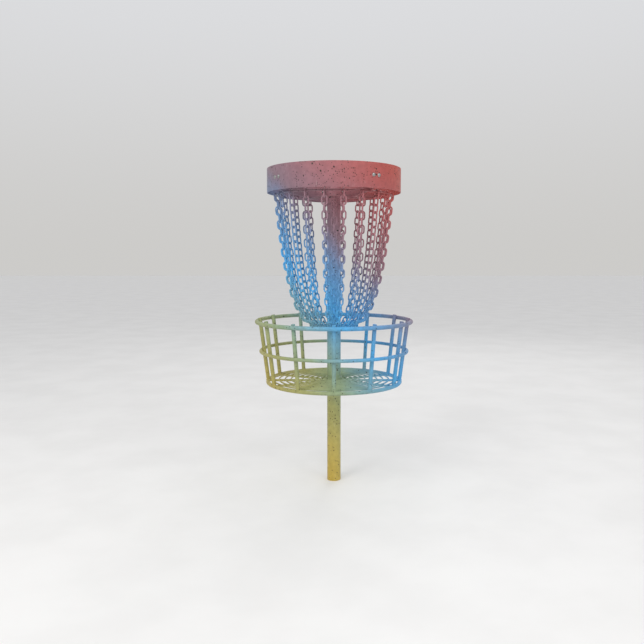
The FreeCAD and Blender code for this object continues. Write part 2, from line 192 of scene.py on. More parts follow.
def even_bearings(count, first=0.0):
    return [first + 360.0 * step / count for step in range(count)]


# ---------------------------------------------------------------- mesh makers
# Each maker returns (points, faces); a piece joins any number of them.

def tube(path, radius, sides=16, closed=False):
    """Round bar along a path. radius is a number or one value for each point."""
    count = len(path)
    radii = [radius] * count if isinstance(radius, float) else list(radius)
    points = []
    normal = None
    first_normal = None
    for index in range(count):
        if closed:
            tangent = path[(index + 1) % count] - path[index - 1]
        else:
            tangent = path[min(index + 1, count - 1)] - path[max(index - 1, 0)]
        tangent.normalize()
        if normal is None:
            normal = tangent.orthogonal().normalized()
            first_normal = normal
        else:
            normal = (normal - tangent * normal.dot(tangent)).normalized()
        binormal = tangent.cross(normal)
        for side in range(sides):
            angle = 2 * math.pi * side / sides
            offset = normal * math.cos(angle) + binormal * math.sin(angle)
            points.append(path[index] + offset * radii[index])
    spans = count if closed else count - 1
    shift = 0
    if closed:
        angle = first_normal.angle(normal)
        turn = first_normal.cross(normal).dot(path[1] - path[0])
        shift = round(math.copysign(angle, turn) * sides / (2 * math.pi))
    faces = []
    for index in range(spans):
        here = index * sides
        there = ((index + 1) % count) * sides
        twist = shift if index == count - 1 else 0
        for side in range(sides):
            after = (side + 1) % sides
            faces.append((
                here + side,
                here + after,
                there + (after + twist) % sides,
                there + (side + twist) % sides,
            ))
    if not closed:
        faces.append(tuple(reversed(range(sides))))
        faces.append(tuple((count - 1) * sides + side for side in range(sides)))
    return points, faces


def rod_ring(radius, height, rod, weld_at, sides=24, steps=256):
    """Ring of round rod, slightly swollen where its two ends are butt welded."""
    path = [place(360.0 * step / steps, radius, height) for step in range(steps)]
    swell = 0.06
    spread = 0.005
    radii = []
    for step in range(steps):
        gap = (360.0 * step / steps - weld_at + 180.0) % 360.0 - 180.0
        arc = math.radians(gap) * radius
        radii.append(rod * (1 + swell * math.exp(-(arc / spread) ** 2)))
    return tube(path, radii, sides, closed=True)


def lathe(profile, segments=128, start=0.0, sweep=360.0):
    """Turn a closed outline of (radius, height) pairs about the pole's axis."""
    whole = sweep >= 360.0
    columns = segments if whole else segments + 1
    count = len(profile)
    points = []
    for column in range(columns):
        bearing = start + sweep * column / segments
        points.extend(place(bearing, radius, height) for radius, height in profile)
    faces = []
    for column in range(segments):
        here = column * count
        there = ((column + 1) % columns) * count
        for row in range(count):
            after = (row + 1) % count
            faces.append((here + row, there + row, there + after, here + after))
    if not whole:
        faces.append(tuple(range(count)))
        faces.append(tuple(reversed(range(segments * count, (segments + 1) * count))))
    return points, faces


def rounded_outline(corners, rounding, steps=3):
    """Outline whose corners are turned into small arcs."""
    outline = []
    count = len(corners)
    for index in range(count):
        before = Vector(corners[index - 1])
        corner = Vector(corners[index])
        after = Vector(corners[(index + 1) % count])
        reach = min(rounding, (before - corner).length * 0.45, (after - corner).length * 0.45)
        enter = corner + (before - corner).normalized() * reach
        leave = corner + (after - corner).normalized() * reach
        for step in range(steps + 1):
            share = step / steps
            first = enter.lerp(corner, share)
            second = corner.lerp(leave, share)
            outline.append(tuple(first.lerp(second, share)))
    return outline


def hexagon_ring(across_flats, limit):
    """Radii round a hexagon, no larger than a limit, which is how a turned corner cuts it."""
    radii = []
    for step in range(HEXAGON_STEPS):
        angle = (360.0 * step / HEXAGON_STEPS + 30.0) % 60.0 - 30.0
        radii.append(min(across_flats / 2 / math.cos(math.radians(angle)), limit))
    return radii


def stacked(levels, count=HEXAGON_STEPS, closed=False):
    """Skin through rings of points, each level a (height, radii) pair.

    The radii are one number or one for each point. A skin is capped flat at both ends, or it
    comes back to its first ring when it is closed.
    """
    points = []
    for height, radii in levels:
        for step in range(count):
            angle = 2 * math.pi * step / count
            radius = radii if isinstance(radii, float) else radii[step]
            points.append(Vector((radius * math.cos(angle), radius * math.sin(angle), height)))
    faces = []
    for level in range(len(levels) if closed else len(levels) - 1):
        here = level * count
        above = ((level + 1) % len(levels)) * count
        for step in range(count):
            after = (step + 1) % count
            faces.append((here + step, here + after, above + after, above + step))
    if not closed:
        faces.append(tuple(reversed(range(count))))
        last = (len(levels) - 1) * count
        faces.append(tuple(range(last, last + count)))
    return points, faces


def hexagon_head(across_flats, thickness):
    """Hexagonal bolt head with turned corners, standing on its washer face."""
    corner = across_flats / math.sqrt(3)
    seat = SEAT_SHARE * across_flats
    rim = CHAMFER_SHARE * thickness
    levels = []
    for height, limit in ((0.0, seat), (0.04 * thickness, seat), (0.05 * thickness, corner)):
        levels.append((height, hexagon_ring(across_flats, limit)))
    steps = 4
    for step in range(steps + 1):
        height = thickness - rim + rim * step / steps
        limit = corner + (seat - corner) * step / steps
        levels.append((height, hexagon_ring(across_flats, limit)))
    return stacked(levels)


def hexagon_nut(across_flats, thickness, bore):
    """Hexagonal nut with turned corners on both faces and a chamfered hole."""
    corner = across_flats / math.sqrt(3)
    seat = SEAT_SHARE * across_flats
    rim = CHAMFER_SHARE * thickness
    steps = 3
    half = [(rim * step / steps, seat + (corner - seat) * step / steps)
            for step in range(steps + 1)]
    levels = half + [(thickness - height, limit) for height, limit in reversed(half)]
    rings = [(height, hexagon_ring(across_flats, limit)) for height, limit in levels]
    lead = 0.08 * across_flats
    rings += [(thickness, bore + lead), (thickness - lead, bore), (lead, bore),
              (0.0, bore + lead)]
    return stacked(rings, closed=True)


def threaded_end(radius, pitch, length, top):
    """Screw thread from a height down, as a skin whose ridges climb as they turn."""
    depth = 0.55 * pitch
    rows = max(8, round(length / pitch * 8))
    levels = []
    for row in range(rows + 1):
        height = top - length + length * row / rows
        fade = min(1.0, 1.6 * row / rows + 0.35)
        radii = []
        for step in range(ROUND_STEPS):
            phase = (height / pitch - step / ROUND_STEPS) % 1.0
            groove = abs(2 * phase - 1)
            radii.append((radius - depth * (1 - groove)) * min(1.0, 0.84 + 0.16 * fade))
        levels.append((height, radii))
    return stacked(levels, ROUND_STEPS)


def plain_shank(radius, bottom, top):
    return stacked([(bottom, radius), (top, radius)], ROUND_STEPS)


def dome_head(radius, rise):
    """Round head on a flat seat at zero height, with a softened rim."""
    levels = [(0.0, radius * 0.985), (rise * 0.06, radius)]
    steps = 10
    for step in range(1, steps):
        angle = math.pi / 2 * step / steps
        levels.append((rise * (0.06 + 0.94 * math.sin(angle)), radius * math.cos(angle) ** 0.72))
    levels.append((rise, radius * 0.04))
    return stacked(levels, ROUND_STEPS)


def moved(shape, matrix):
    points, faces = shape
    return [matrix @ point for point in points], faces


def joined(shapes):
    """Several shapes as one."""
    points = []
    faces = []
    for shape_points, shape_faces in shapes:
        base = len(points)
        points.extend(shape_points)
        faces.extend(tuple(base + corner for corner in face) for face in shape_faces)
    return points, faces


def bead(path, radius, closed=True):
    """Weld bead: a bar whose thickness swells and shrinks like a row of puddles."""
    fine = []
    spans = len(path) if closed else len(path) - 1
    for index in range(spans):
        start = path[index]
        end = path[(index + 1) % len(path)]
        steps = max(1, round((end - start).length / (BEAD_PITCH / 3)))
        fine.extend(start.lerp(end, step / steps) for step in range(steps))
    if not closed:
        fine.append(path[-1])
    radii = []
    travelled = 0.0
    for index, point in enumerate(fine):
        if index:
            travelled += (point - fine[index - 1]).length
        wave = math.sin(2 * math.pi * travelled / BEAD_PITCH)
        wobble = noise.noise(point * 350)
        radii.append(radius * (1 + BEAD_RIPPLE * wave + BEAD_WOBBLE * wobble))
    if not closed:
        radii[0] *= 0.45
        radii[-1] *= 0.45
    return tube(fine, radii, 10, closed=closed)


def crossing_bead(centre, normal, side, along, bar, other, offset, radius):
    """Bead round the patch where a second bar crosses over a first one.

    The first bar runs along `along`, the second along `side`, and the second's axis is
    offset from the first's by `offset` in the direction of `normal`.
    """
    widest = math.acos(min(1.0, (offset - other) / bar))
    steps = 10
    upper = []
    lower = []
    for step in range(steps + 1):
        angle = widest * (2 * step / steps - 1) * 0.999
        reach = math.sqrt(max(0.0, other ** 2 - (offset - bar * math.cos(angle)) ** 2))
        middle = centre + normal * (bar * math.cos(angle)) + side * (bar * math.sin(angle))
        upper.append(middle + along * reach)
        lower.append(middle - along * reach)
    return bead(upper + lower[::-1][1:-1], radius)


def link_shape():
    """One welded oval link, long axis along Z and flat in XZ, with its weld on one leg.

    Also gives each point's share of rubbing wear, greatest inside the two bends.
    """
    sides = 14
    steps_leg = 8
    steps_bend = 14
    path = []
    radii = []
    wear = []
    for half in (1, -1):
        for step in range(steps_leg):
            height = half * LINK_LEG * (2 * step / steps_leg - 1)
            path.append(Vector((half * LINK_BEND, 0, height)))
            weld = math.exp(-(height / 0.0016) ** 2) if half == 1 else 0.0
            radii.append(LINK_WIRE * (1 + 0.13 * weld))
            wear.append(0.0)
        for step in range(steps_bend):
            angle = math.pi * step / steps_bend
            path.append(Vector((
                half * LINK_BEND * math.cos(angle), 0,
                half * (LINK_LEG + LINK_BEND * math.sin(angle)))))
            radii.append(LINK_WIRE)
            wear.append(math.sin(angle) ** 3)
    points, faces = tube(path, radii, sides, closed=True)
    shares = []
    for index, point in enumerate(points):
        station = path[index // sides]
        outer = (point - station).normalized()
        centre = Vector((0, 0, math.copysign(LINK_LEG, station.z)))
        inward = max(0.0, -outer.dot((station - centre).normalized()))
        shares.append(wear[index // sides] * inward)
    return points, faces, shares


# ---------------------------------------------------------------- pieces

def new_object(name, data):
    made = bpy.data.objects.new(name, data)
    bpy.context.scene.collection.objects.link(made)
    return made


def slot_of(node):
    """Material slot that the record gives a node."""
    return next(part["material_slot"] for part in frame["record"]["subparts"]
                if part["node"] == node)


def shade(mesh, crease):
    """Smooth shading that breaks at edges sharper than an angle in degrees."""
    mesh.shade_smooth()
    mesh.set_sharp_from_angle(angle=math.radians(crease))


def add_piece(name, shapes, slot, replaces=(), body=FRAME_BODY, crease=CREASE):
    """One object from one or more shapes, in its slot's material, riding on a body."""
    points, faces = joined(shapes)
    mesh = bpy.data.meshes.new(name)
    mesh.from_pydata(points, [], faces)
    mesh.update()
    shade(mesh, crease)
    mesh.materials.append(MATERIALS[slot])
    piece = new_object(name, mesh)
    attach(piece, body)
    if replaces:
        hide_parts(*replaces)
    return piece


def softened_copy(node, width):
    """Stand-in for a plain CAD node of the frame: the same form with its edges rounded."""
    source = frame["nodes"][node].data
    form = bmesh.new()
    form.from_mesh(source)
    bmesh.ops.remove_doubles(form, verts=form.verts, dist=1e-6)
    bmesh.ops.dissolve_limit(
        form, angle_limit=math.radians(0.5), verts=form.verts, edges=form.edges)
    mesh = bpy.data.meshes.new(node + "_soft")
    form.to_mesh(mesh)
    form.free()
    copy = new_object(node + "_soft", mesh)
    bevel = copy.modifiers.new("edges", "BEVEL")
    bevel.width = width
    bevel.segments = 2
    bevel.limit_method = "ANGLE"
    bevel.angle_limit = math.radians(35)
    apply_modifiers(copy)
    shade(copy.data, 40.0)
    copy.data.materials.append(MATERIALS[slot_of(node)])
    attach(copy, FRAME_BODY)
    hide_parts(node)


def apply_modifiers(piece):
    """Bake a piece's modifiers into its own mesh, without the slivers that they leave."""
    bpy.context.view_layer.update()
    graph = bpy.context.evaluated_depsgraph_get()
    made = bpy.data.meshes.new_from_object(piece.evaluated_get(graph))
    form = bmesh.new()
    form.from_mesh(made)
    bmesh.ops.dissolve_degenerate(form, dist=2e-6, edges=form.edges)
    form.to_mesh(made)
    form.free()
    piece.modifiers.clear()
    piece.data = made


def drill(piece, holes, sides=24):
    """Cut round holes, each a start, an end and a radius, and shade the piece afresh."""
    points, faces = joined([tube([start, end], radius, sides) for start, end, radius in holes])
    mesh = bpy.data.meshes.new("drills")
    mesh.from_pydata(points, [], faces)
    cutter = new_object("drills", mesh)
    cut = piece.modifiers.new("holes", "BOOLEAN")
    cut.object = cutter
    cut.operation = "DIFFERENCE"
    cut.solver = "EXACT"
    apply_modifiers(piece)
    bpy.data.objects.remove(cutter)
    shade(piece.data, CREASE)


def cross_holes(piece, heights, reach):
    """Bolt holes straight through a piece from side to side."""
    across = Vector((reach, 0, 0))
    drill(piece, [(UP * height - across, UP * height + across, CROSS_HOLE)
                  for height in heights], 40)


# ---------------------------------------------------------------- materials

# The paint fades across the whole basket on one slant. Its measure is height plus distance to
# the right, and it goes from mustard at the foot through blue to coral at the top right.
FADE_LEAN = 1.02
FADE_START = 0.00
FADE_END = 1.60
MUSTARD = (184, 158, 72)
OLIVE = (160, 160, 102)
SAGE = (140, 160, 128)
SKY = (78, 160, 212)
DUSK = (104, 142, 182)
MAUVE = (138, 114, 126)
CORAL = (190, 78, 62)
FADE = (
    (0.00, MUSTARD), (0.20, OLIVE), (0.29, SAGE), (0.45, SKY), (0.56, DUSK), (0.65, MAUVE),
    (1.00, CORAL),
)


def linear(colour):
    """Scene-linear colour, with full opacity, from display values of 0 to 255."""
    values = []
    for value in colour:
        share = value / 255
        values.append(share / 12.92 if share <= 0.04045 else ((share + 0.055) / 1.055) ** 2.4)
    return (*values, 1.0)


class Nodes:
    """Shorthand for building a material's node tree."""

    def __init__(self, name):
        self.material = bpy.data.materials.new(name)
        self.material.use_nodes = True
        self.tree = self.material.node_tree
        self.shader = self.tree.nodes["Principled BSDF"]
        coordinates = self.tree.nodes.new("ShaderNodeTexCoord")
        self.position = coordinates.outputs["Object"]

    def link(self, source, target):
        self.tree.links.new(source, target)

    def feed(self, socket, value):
        if isinstance(value, bpy.types.NodeSocket):
            self.link(value, socket)
        else:
            socket.default_value = value

    def surface(self, name, value):
        """Give the surface shader a property."""
        self.feed(self.shader.inputs[name], value)

    def math(self, operation, first, second=0.5, third=0.5):
        node = self.tree.nodes.new("ShaderNodeMath")
        node.operation = operation
        for socket, value in zip(node.inputs, (first, second, third)):
            self.feed(socket, value)
        return node.outputs[0]

    def noise(self, scale, detail=3.0, roughness=0.5, place_from=None):
        node = self.tree.nodes.new("ShaderNodeTexNoise")
        self.link(place_from or self.position, node.inputs["Vector"])
        node.inputs["Scale"].default_value = scale
        node.inputs["Detail"].default_value = detail
        node.inputs["Roughness"].default_value = roughness
        return node.outputs["Fac"]

    def cells(self, scale):
        """Distance to the nearest scattered point, and a random value for its cell."""
        node = self.tree.nodes.new("ShaderNodeTexVoronoi")
        self.link(self.position, node.inputs["Vector"])
        node.inputs["Scale"].default_value = scale
        split = self.tree.nodes.new("ShaderNodeSeparateColor")
        self.link(node.outputs["Color"], split.inputs[0])
        return node.outputs["Distance"], split.outputs[0]

    def ramp(self, value, low, high, start=0.0, end=1.0, kind="SMOOTHSTEP"):
        """Step from one value to another while the input goes from low to high."""
        node = self.tree.nodes.new("ShaderNodeMapRange")
        node.interpolation_type = kind
        self.feed(node.inputs["Value"], value)
        node.inputs["From Min"].default_value = low
        node.inputs["From Max"].default_value = high
        node.inputs["To Min"].default_value = start
        node.inputs["To Max"].default_value = end
        return node.outputs["Result"]

    def mix(self, share, first, second, blend="MIX"):
        node = self.tree.nodes.new("ShaderNodeMix")
        node.data_type = "RGBA"
        node.blend_type = blend
        self.feed(node.inputs[0], share)
        self.feed(node.inputs[6], first)
        self.feed(node.inputs[7], second)
        return node.outputs[2]

    def bump(self, height, strength, distance, below=None):
        node = self.tree.nodes.new("ShaderNodeBump")
        node.inputs["Strength"].default_value = strength
        node.inputs["Distance"].default_value = distance
        self.link(height, node.inputs["Height"])
        if below is not None:
            self.link(below, node.inputs["Normal"])
        return node.outputs["Normal"]


def fade_colour(nodes):
    """Colour of the paint at a place on the basket."""
    split = nodes.tree.nodes.new("ShaderNodeSeparateXYZ")
    nodes.link(nodes.position, split.inputs[0])
    slant = nodes.math("MULTIPLY_ADD", split.outputs["X"], FADE_LEAN, split.outputs["Z"])
    drift = nodes.math("SUBTRACT", nodes.noise(9.0), 0.5)
    slant = nodes.math("MULTIPLY_ADD", drift, 0.10, slant)
    share = nodes.ramp(slant, FADE_START, FADE_END, kind="LINEAR")
    ramp = nodes.tree.nodes.new("ShaderNodeValToRGB")
    nodes.link(share, ramp.inputs["Fac"])
    elements = ramp.color_ramp.elements
    while len(elements) < len(FADE):
        elements.new(0.5)
    for element, (position, colour) in zip(elements, FADE):
        element.position = position
        element.color = linear(colour)
    return ramp.outputs["Color"]


def chipped(nodes, amount):
    """Share of paint lost at a place: ragged chips of two sizes that come in clusters."""
    cluster = nodes.ramp(nodes.noise(9.0, 2.0), 0.35, 0.66, 0.25, 1.0)
    ragged = nodes.math("MULTIPLY", nodes.math("SUBTRACT", nodes.noise(300.0, 2.0), 0.5), 0.62)
    lost = None
    for scale, size, share in ((62.0, 0.22, 0.40), (150.0, 0.32, 0.60)):
        distance, lot = nodes.cells(scale)
        limit = nodes.math("SUBTRACT", 1.0, nodes.math("MULTIPLY", cluster, share * amount))
        chosen = nodes.math("GREATER_THAN", lot, limit)
        edge = nodes.math("ADD", distance, ragged)
        spot = nodes.math("MULTIPLY", nodes.ramp(edge, size * 0.8, size, 1.0, 0.0), chosen)
        lost = spot if lost is None else nodes.math("MAXIMUM", lost, spot)
    return lost


def scuffed(nodes):
    """Thin upright scratches that catch the light but don't go through the paint."""
    stretch = nodes.tree.nodes.new("ShaderNodeVectorMath")
    stretch.operation = "MULTIPLY"
    nodes.link(nodes.position, stretch.inputs[0])
    stretch.inputs[1].default_value = (1.0, 1.0, 0.07)
    lines = nodes.noise(480.0, 2.0, place_from=stretch.outputs[0])
    patches = nodes.ramp(nodes.noise(14.0, 3.0), 0.50, 0.66)
    return nodes.math("MULTIPLY", nodes.ramp(lines, 0.64, 0.70), patches)


def powder_coat(name, chips, tone=1.0, roughness=0.42, worn=False):
    """Fading satin powder coat: orange-peel skin, mottling, scuffs and chips down to primer.

    chips is how much of the surface has lost its paint, from 0 to 1, and tone how light the rest
    is: a painted-light gain, which lightens a coat whose part lies in shade and darkens one that
    faces the lamps. worn also rubs it to bare metal where a mesh has the attribute "wear".
    """
    nodes = Nodes(name)
    # tone scales the mottled colour: painted light that lightens parts in shade and darkens parts
    # facing the lamps
    mottle = nodes.ramp(nodes.noise(60.0, 4.0, 0.6), 0.3, 0.7, 0.88 * tone, 1.05 * tone)
    colour = nodes.mix(1.0, fade_colour(nodes), mottle, "MULTIPLY")
    scuffs = scuffed(nodes)
    chalky = nodes.math("MULTIPLY", scuffs, 0.30)
    colour = nodes.mix(chalky, colour, (0.62, 0.60, 0.58, 1.0))
    lost = chipped(nodes, chips)
    primer = nodes.mix(nodes.noise(160.0, 3.0), (0.013, 0.012, 0.012, 1.0),
                       (0.040, 0.028, 0.022, 1.0))
    colour = nodes.mix(lost, colour, primer)

    normal = nodes.bump(nodes.noise(900.0, 2.0, 0.45), 0.18, 0.0003)
    normal = nodes.bump(scuffs, 0.25, 0.0001, normal)
    normal = nodes.bump(nodes.math("SUBTRACT", 1.0, lost), 0.6, 0.00025, normal)
    rough = nodes.ramp(nodes.noise(38.0, 4.0), 0.25, 0.75, roughness - 0.06, roughness + 0.10)
    rough = nodes.math("MULTIPLY_ADD", nodes.math("MAXIMUM", lost, scuffs), 0.20, rough)
    if worn:
        attribute = nodes.tree.nodes.new("ShaderNodeAttribute")
        attribute.attribute_name = "wear"
        patchy = nodes.math("MULTIPLY_ADD", nodes.noise(500.0, 3.0), 0.8, attribute.outputs["Fac"])
        bare = nodes.ramp(patchy, 0.85, 1.15)
        colour = nodes.mix(bare, colour, (0.46, 0.46, 0.47, 1.0))
        nodes.surface("Metallic", bare)
        rough = nodes.math("MULTIPLY_ADD", bare, -0.12, rough)
    nodes.surface("Base Color", colour)
    nodes.surface("Roughness", rough)
    nodes.surface("Normal", normal)
    nodes.surface("Specular IOR Level", 0.32)
    return nodes.material


def zinc_plate(name):
    """Weathered zinc-plated steel: faintly crystalline, with dull smudges."""
    nodes = Nodes(name)
    grains, lot = nodes.cells(420.0)
    shade = nodes.math("MULTIPLY_ADD", lot, 0.08, 0.36)
    smudge = nodes.ramp(nodes.noise(130.0, 4.0, 0.6), 0.40, 0.70)
    bright = nodes.tree.nodes.new("ShaderNodeCombineColor")
    for socket in bright.inputs[:3]:
        nodes.link(shade, socket)
    colour = nodes.mix(smudge, bright.outputs[0], (0.23, 0.22, 0.20, 1.0))
    nodes.surface("Base Color", colour)
    rough = nodes.math("MULTIPLY_ADD", smudge, 0.18, nodes.math("MULTIPLY_ADD", grains, 0.1, 0.26))
    nodes.surface("Roughness", rough)
    nodes.surface("Normal", nodes.bump(nodes.noise(1500.0, 2.0), 0.12, 0.0002))
    nodes.surface("Metallic", 1.0)
    return nodes.material


def moulded_plastic(name):
    """Black moulded plastic with a fine spark-eroded grain and a little dust."""
    nodes = Nodes(name)
    dust = nodes.ramp(nodes.noise(40.0, 5.0, 0.65), 0.45, 0.75)
    colour = nodes.mix(dust, (0.022, 0.022, 0.024, 1.0), (0.060, 0.058, 0.054, 1.0))
    nodes.surface("Base Color", colour)
    nodes.surface("Roughness", nodes.math("MULTIPLY_ADD", dust, 0.2, 0.5))
    nodes.surface("Normal", nodes.bump(nodes.noise(2600.0, 2.0), 0.35, 0.0002))
    return nodes.material


# The material of each slot. The fade runs across the whole basket, so the chains' three slots
# share one coat.
# The tones of the band, pole and chains are painted light. The chains (1.18) and pole (1.08) are
# lightened because they hang in the shade of the band and chains. The band (0.93) is darkened
# because it faces the lamps.
MATERIALS = {
    "band_coat": powder_coat("coat_band", 0.50, 0.93),
    "cage_coat": powder_coat("coat_cage", 0.30),
    "pole_coat": powder_coat("coat_pole", 0.50, 1.08),
    "floor_coat": powder_coat("coat_floor", 0.26, 1.05),
    "chain_blue": powder_coat("coat_chain", 0.26, 1.18, 0.38, worn=True),
    "zinc": zinc_plate("zinc"),
    "cap_plastic": moulded_plastic("cap_plastic"),
}
MATERIALS["chain_lilac"] = MATERIALS["chain_rose"] = MATERIALS["chain_blue"]


# ---------------------------------------------------------------- rings

def make_ring(node, weld_at, body=FRAME_BODY, sides=24):
    """Ring whose butt weld is at a bearing."""
    radius, height, rod = ring_measures(node)
    shape = rod_ring(radius, height, rod, weld_at, sides)
    add_piece(node + "_rod", [shape], slot_of(node), [node], body, crease=60)


RIM_RADIUS, RIM_HEIGHT, RIM_ROD = ring_measures("top_rim")
MID_RADIUS, MID_HEIGHT, MID_ROD = ring_measures("mid_ring")
FLOOR_RADIUS, FLOOR_HEIGHT, FLOOR_ROD = ring_measures("floor_rim")
OUTER_RADIUS, OUTER_HEIGHT, HANG_ROD = ring_measures("outer_chain_ring")
INNER_RADIUS, INNER_HEIGHT, _ = ring_measures("inner_chain_ring")
GRILLE_RADIUS, GRILLE_HEIGHT, GRILLE_ROD = ring_measures("floor_rings")


# ---------------------------------------------------------------- pole

def make_pole_tube():
    """Tube with broken edges, the socket at its foot and cross holes for three bolts."""
    low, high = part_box("pole")
    outer = high.x
    inner = outer - WALL
    socket = inner + SOCKET_REAMED
    corners = [
        (outer, low.z), (outer, high.z), (inner, high.z),
        (inner, SOCKET_DEPTH), (socket, SOCKET_DEPTH), (socket, low.z),
    ]
    shape = lathe(rounded_outline(corners, 0.0004, 2), 160)
    pole = add_piece("pole_tube", [shape], "pole_coat", ["pole"])
    cross_holes(pole, (LOCK_HEIGHT, CAGE_BOLT_HEIGHT, HANGER_BOLT_HEIGHT), 0.05)


def make_cap():
    """Domed plug with a parting line round its lip."""
    low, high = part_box("pole_cap")
    edge = high.x
    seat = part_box("pole")[1].z
    bore = edge - WALL
    crown = []
    steps = 16
    for step in range(steps + 1):
        angle = math.pi / 2 * step / steps
        crown.append((
            (edge - 0.0020) * math.cos(angle) ** 0.8,
            seat + CAP_LIP + (high.z - seat - CAP_LIP) * math.sin(angle)))
    crown[-1] = (0.0004, high.z)
    outline = [
        (edge, seat), (edge, seat + 0.0018), (edge - 0.0003, seat + 0.0020),
        (edge, seat + 0.0022), (edge, seat + CAP_LIP - 0.0012),
        (edge - 0.0004, seat + CAP_LIP - 0.0005), (edge - 0.0012, seat + CAP_LIP),
    ]
    outline += crown
    outline += [
        (0.0004, seat - 0.0005), (bore - WALL, seat - 0.0005), (bore - WALL, low.z),
        (bore - 0.0008, low.z), (bore, low.z + 0.0008), (bore, seat),
    ]
    add_piece("cap", [lathe(outline, 128)], "cap_plastic", ["pole_cap"], crease=28)


def make_collar_sleeve(node, bolt_height):
    """Sleeve with rounded edges, drilled for its bolt."""
    low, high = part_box(node)
    bore = half_width("pole") + 0.00005
    corners = [(high.x, low.z), (high.x, high.z), (bore, high.z), (bore, low.z)]
    shape = lathe(rounded_outline(corners, 0.0010, 3), 128)
    sleeve = add_piece(node + "_sleeve", [shape], slot_of(node), [node])
    cross_holes(sleeve, (bolt_height,), 0.06)


def along_x(radius, height, facing=1):
    """Frame whose Z axis points out along X (or in, when facing is -1) from a seat."""
    tilt = Matrix.Rotation(math.radians(90.0 * facing), 4, "Y")
    return Matrix.Translation(Vector((radius, 0, height))) @ tilt


def turned(bearing, matrix):
    """The same frame carried from the +X side to a bearing."""
    return Matrix.Rotation(math.radians(bearing - 90.0), 4, "Z") @ matrix


def make_collar_bolts():
    """A hexagon bolt and nut through each collar, with real threads at the nut's end."""
    seat = half_width("hanger_collar")
    low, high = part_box("collar_bolts")
    head = high.x - seat
    shank = seat - low.x
    nut = -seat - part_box("collar_nuts")[0].x
    bolt_shapes = []
    nut_shapes = []
    thread = shank - 2 * seat + 0.001
    for height in (CAGE_BOLT_HEIGHT, HANGER_BOLT_HEIGHT):
        out = along_x(seat, height)
        bolt_shapes.append(moved(hexagon_head(COLLAR_BOLT_FLATS, head), out))
        bolt_shapes.append(moved(plain_shank(COLLAR_BOLT_RADIUS, -shank + thread, 0.0), out))
        flip = out @ Matrix.Rotation(math.pi, 4, "X")
        bolt_shapes.append(moved(
            threaded_end(COLLAR_BOLT_RADIUS, COLLAR_BOLT_PITCH, thread, shank), flip))
        nut_shapes.append(moved(
            hexagon_nut(COLLAR_BOLT_FLATS, nut, COLLAR_BOLT_RADIUS), along_x(-seat, height, -1)))
    add_piece("collar_bolts_threaded", bolt_shapes, "zinc", ["collar_bolts"])
    add_piece("collar_nuts_turned", nut_shapes, "zinc", ["collar_nuts"])


# ---------------------------------------------------------------- band

def make_band_sheet():
    """Rolled sheet with folded hems, a butt seam at the back and holes for its fasteners."""
    low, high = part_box("band")
    outer = high.x
    inner = outer - BAND_SHEET
    fold = inner - BAND_SHEET
    slit = 0.0003
    depth = BAND_HEM * 0.6
    corners = [
        (outer, low.z), (outer, high.z), (fold, high.z), (fold, high.z - BAND_HEM),
        (inner - slit, high.z - BAND_HEM), (inner - slit, high.z - BAND_HEM + depth),
        (inner, high.z - BAND_HEM + depth), (inner, low.z + BAND_HEM - depth),
        (inner - slit, low.z + BAND_HEM - depth), (inner - slit, low.z + BAND_HEM),
        (fold, low.z + BAND_HEM), (fold, low.z),
    ]
    gap = math.degrees(SEAM_GAP / outer)
    outline = rounded_outline(corners, 0.0013, 4)
    shape = lathe(outline, 360, BAND_SEAM + gap / 2, 360.0 - gap)
    band = add_piece("band_hemmed", [shape], "band_coat", ["band"])
    holes = [
        (bearing, BAND_BOLT_HEIGHT, BAND_HOLE_RADIUS) for bearing in band_bolt_bearings()
    ] + [(bearing, height, RIVET_RADIUS) for bearing, height in rivet_places()]
    drill(band, [
        (place(bearing, outer + 0.01, height), place(bearing, outer - 0.01, height), radius)
        for bearing, height, radius in holes
    ])


def band_bolt_bearings():
    return [
        arm + side * BAND_BOLT_ANGLE
        for arm in even_bearings(ARM_COUNT, FIRST_ARM)
        for side in (-1, 1)
    ]


def rivet_places():
    low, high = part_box("band")
    return [
        (BAND_SEAM + side * RIVET_ANGLE, low.z + row * (high.z - low.z))
        for side in (-1, 1)
        for row in RIVET_ROWS
    ]


def make_band_bolts():
    """Round-headed bolts with threads, and their nuts, at the arms."""
    outside = half_width("band")
    tab_face = math.sqrt(
        (outside - BAND_SHEET - TAB_THICKNESS) ** 2 - (BAND_NUT_FLATS / math.sqrt(3)) ** 2)
    bolts = []
    nuts = []
    grip = outside - tab_face
    for bearing in band_bolt_bearings():
        out = turned(bearing, along_x(outside, BAND_BOLT_HEIGHT))
        flip = out @ Matrix.Rotation(math.pi, 4, "X")
        bolts.append(moved(dome_head(BAND_BOLT_HEAD, BAND_BOLT_RISE), out))
        bolts.append(moved(plain_shank(BAND_BOLT_RADIUS, -grip, 0.0), out))
        bolts.append(moved(threaded_end(
            BAND_BOLT_RADIUS, BAND_BOLT_PITCH, BAND_BOLT_SPARE, grip + BAND_BOLT_SPARE), flip))
        nuts.append(moved(hexagon_nut(BAND_NUT_FLATS, BAND_NUT, BAND_BOLT_RADIUS),
                          turned(bearing, along_x(tab_face, BAND_BOLT_HEIGHT, -1))))
    add_piece("band_bolts_threaded", bolts, "zinc", ["band_bolts"])
    add_piece("band_nuts_turned", nuts, "zinc", ["band_nuts"])


def make_rivets():
    """Rivets through the seam strap, domed on both sides."""
    outside = half_width("band")
    back = math.sqrt((outside - 2 * BAND_SHEET) ** 2 - RIVET_HEAD ** 2)
    shapes = []
    for bearing, height in rivet_places():
        out = turned(bearing, along_x(outside, height))
        inward = turned(bearing, along_x(back, height, -1))
        shapes.append(moved(dome_head(RIVET_HEAD, RIVET_RISE), out))
        shapes.append(moved(dome_head(RIVET_HEAD, RIVET_RISE), inward))
        shapes.append(moved(plain_shank(RIVET_RADIUS, back - outside, 0.0), out))
    add_piece("rivets", shapes, "zinc", ["seam_rivets"])


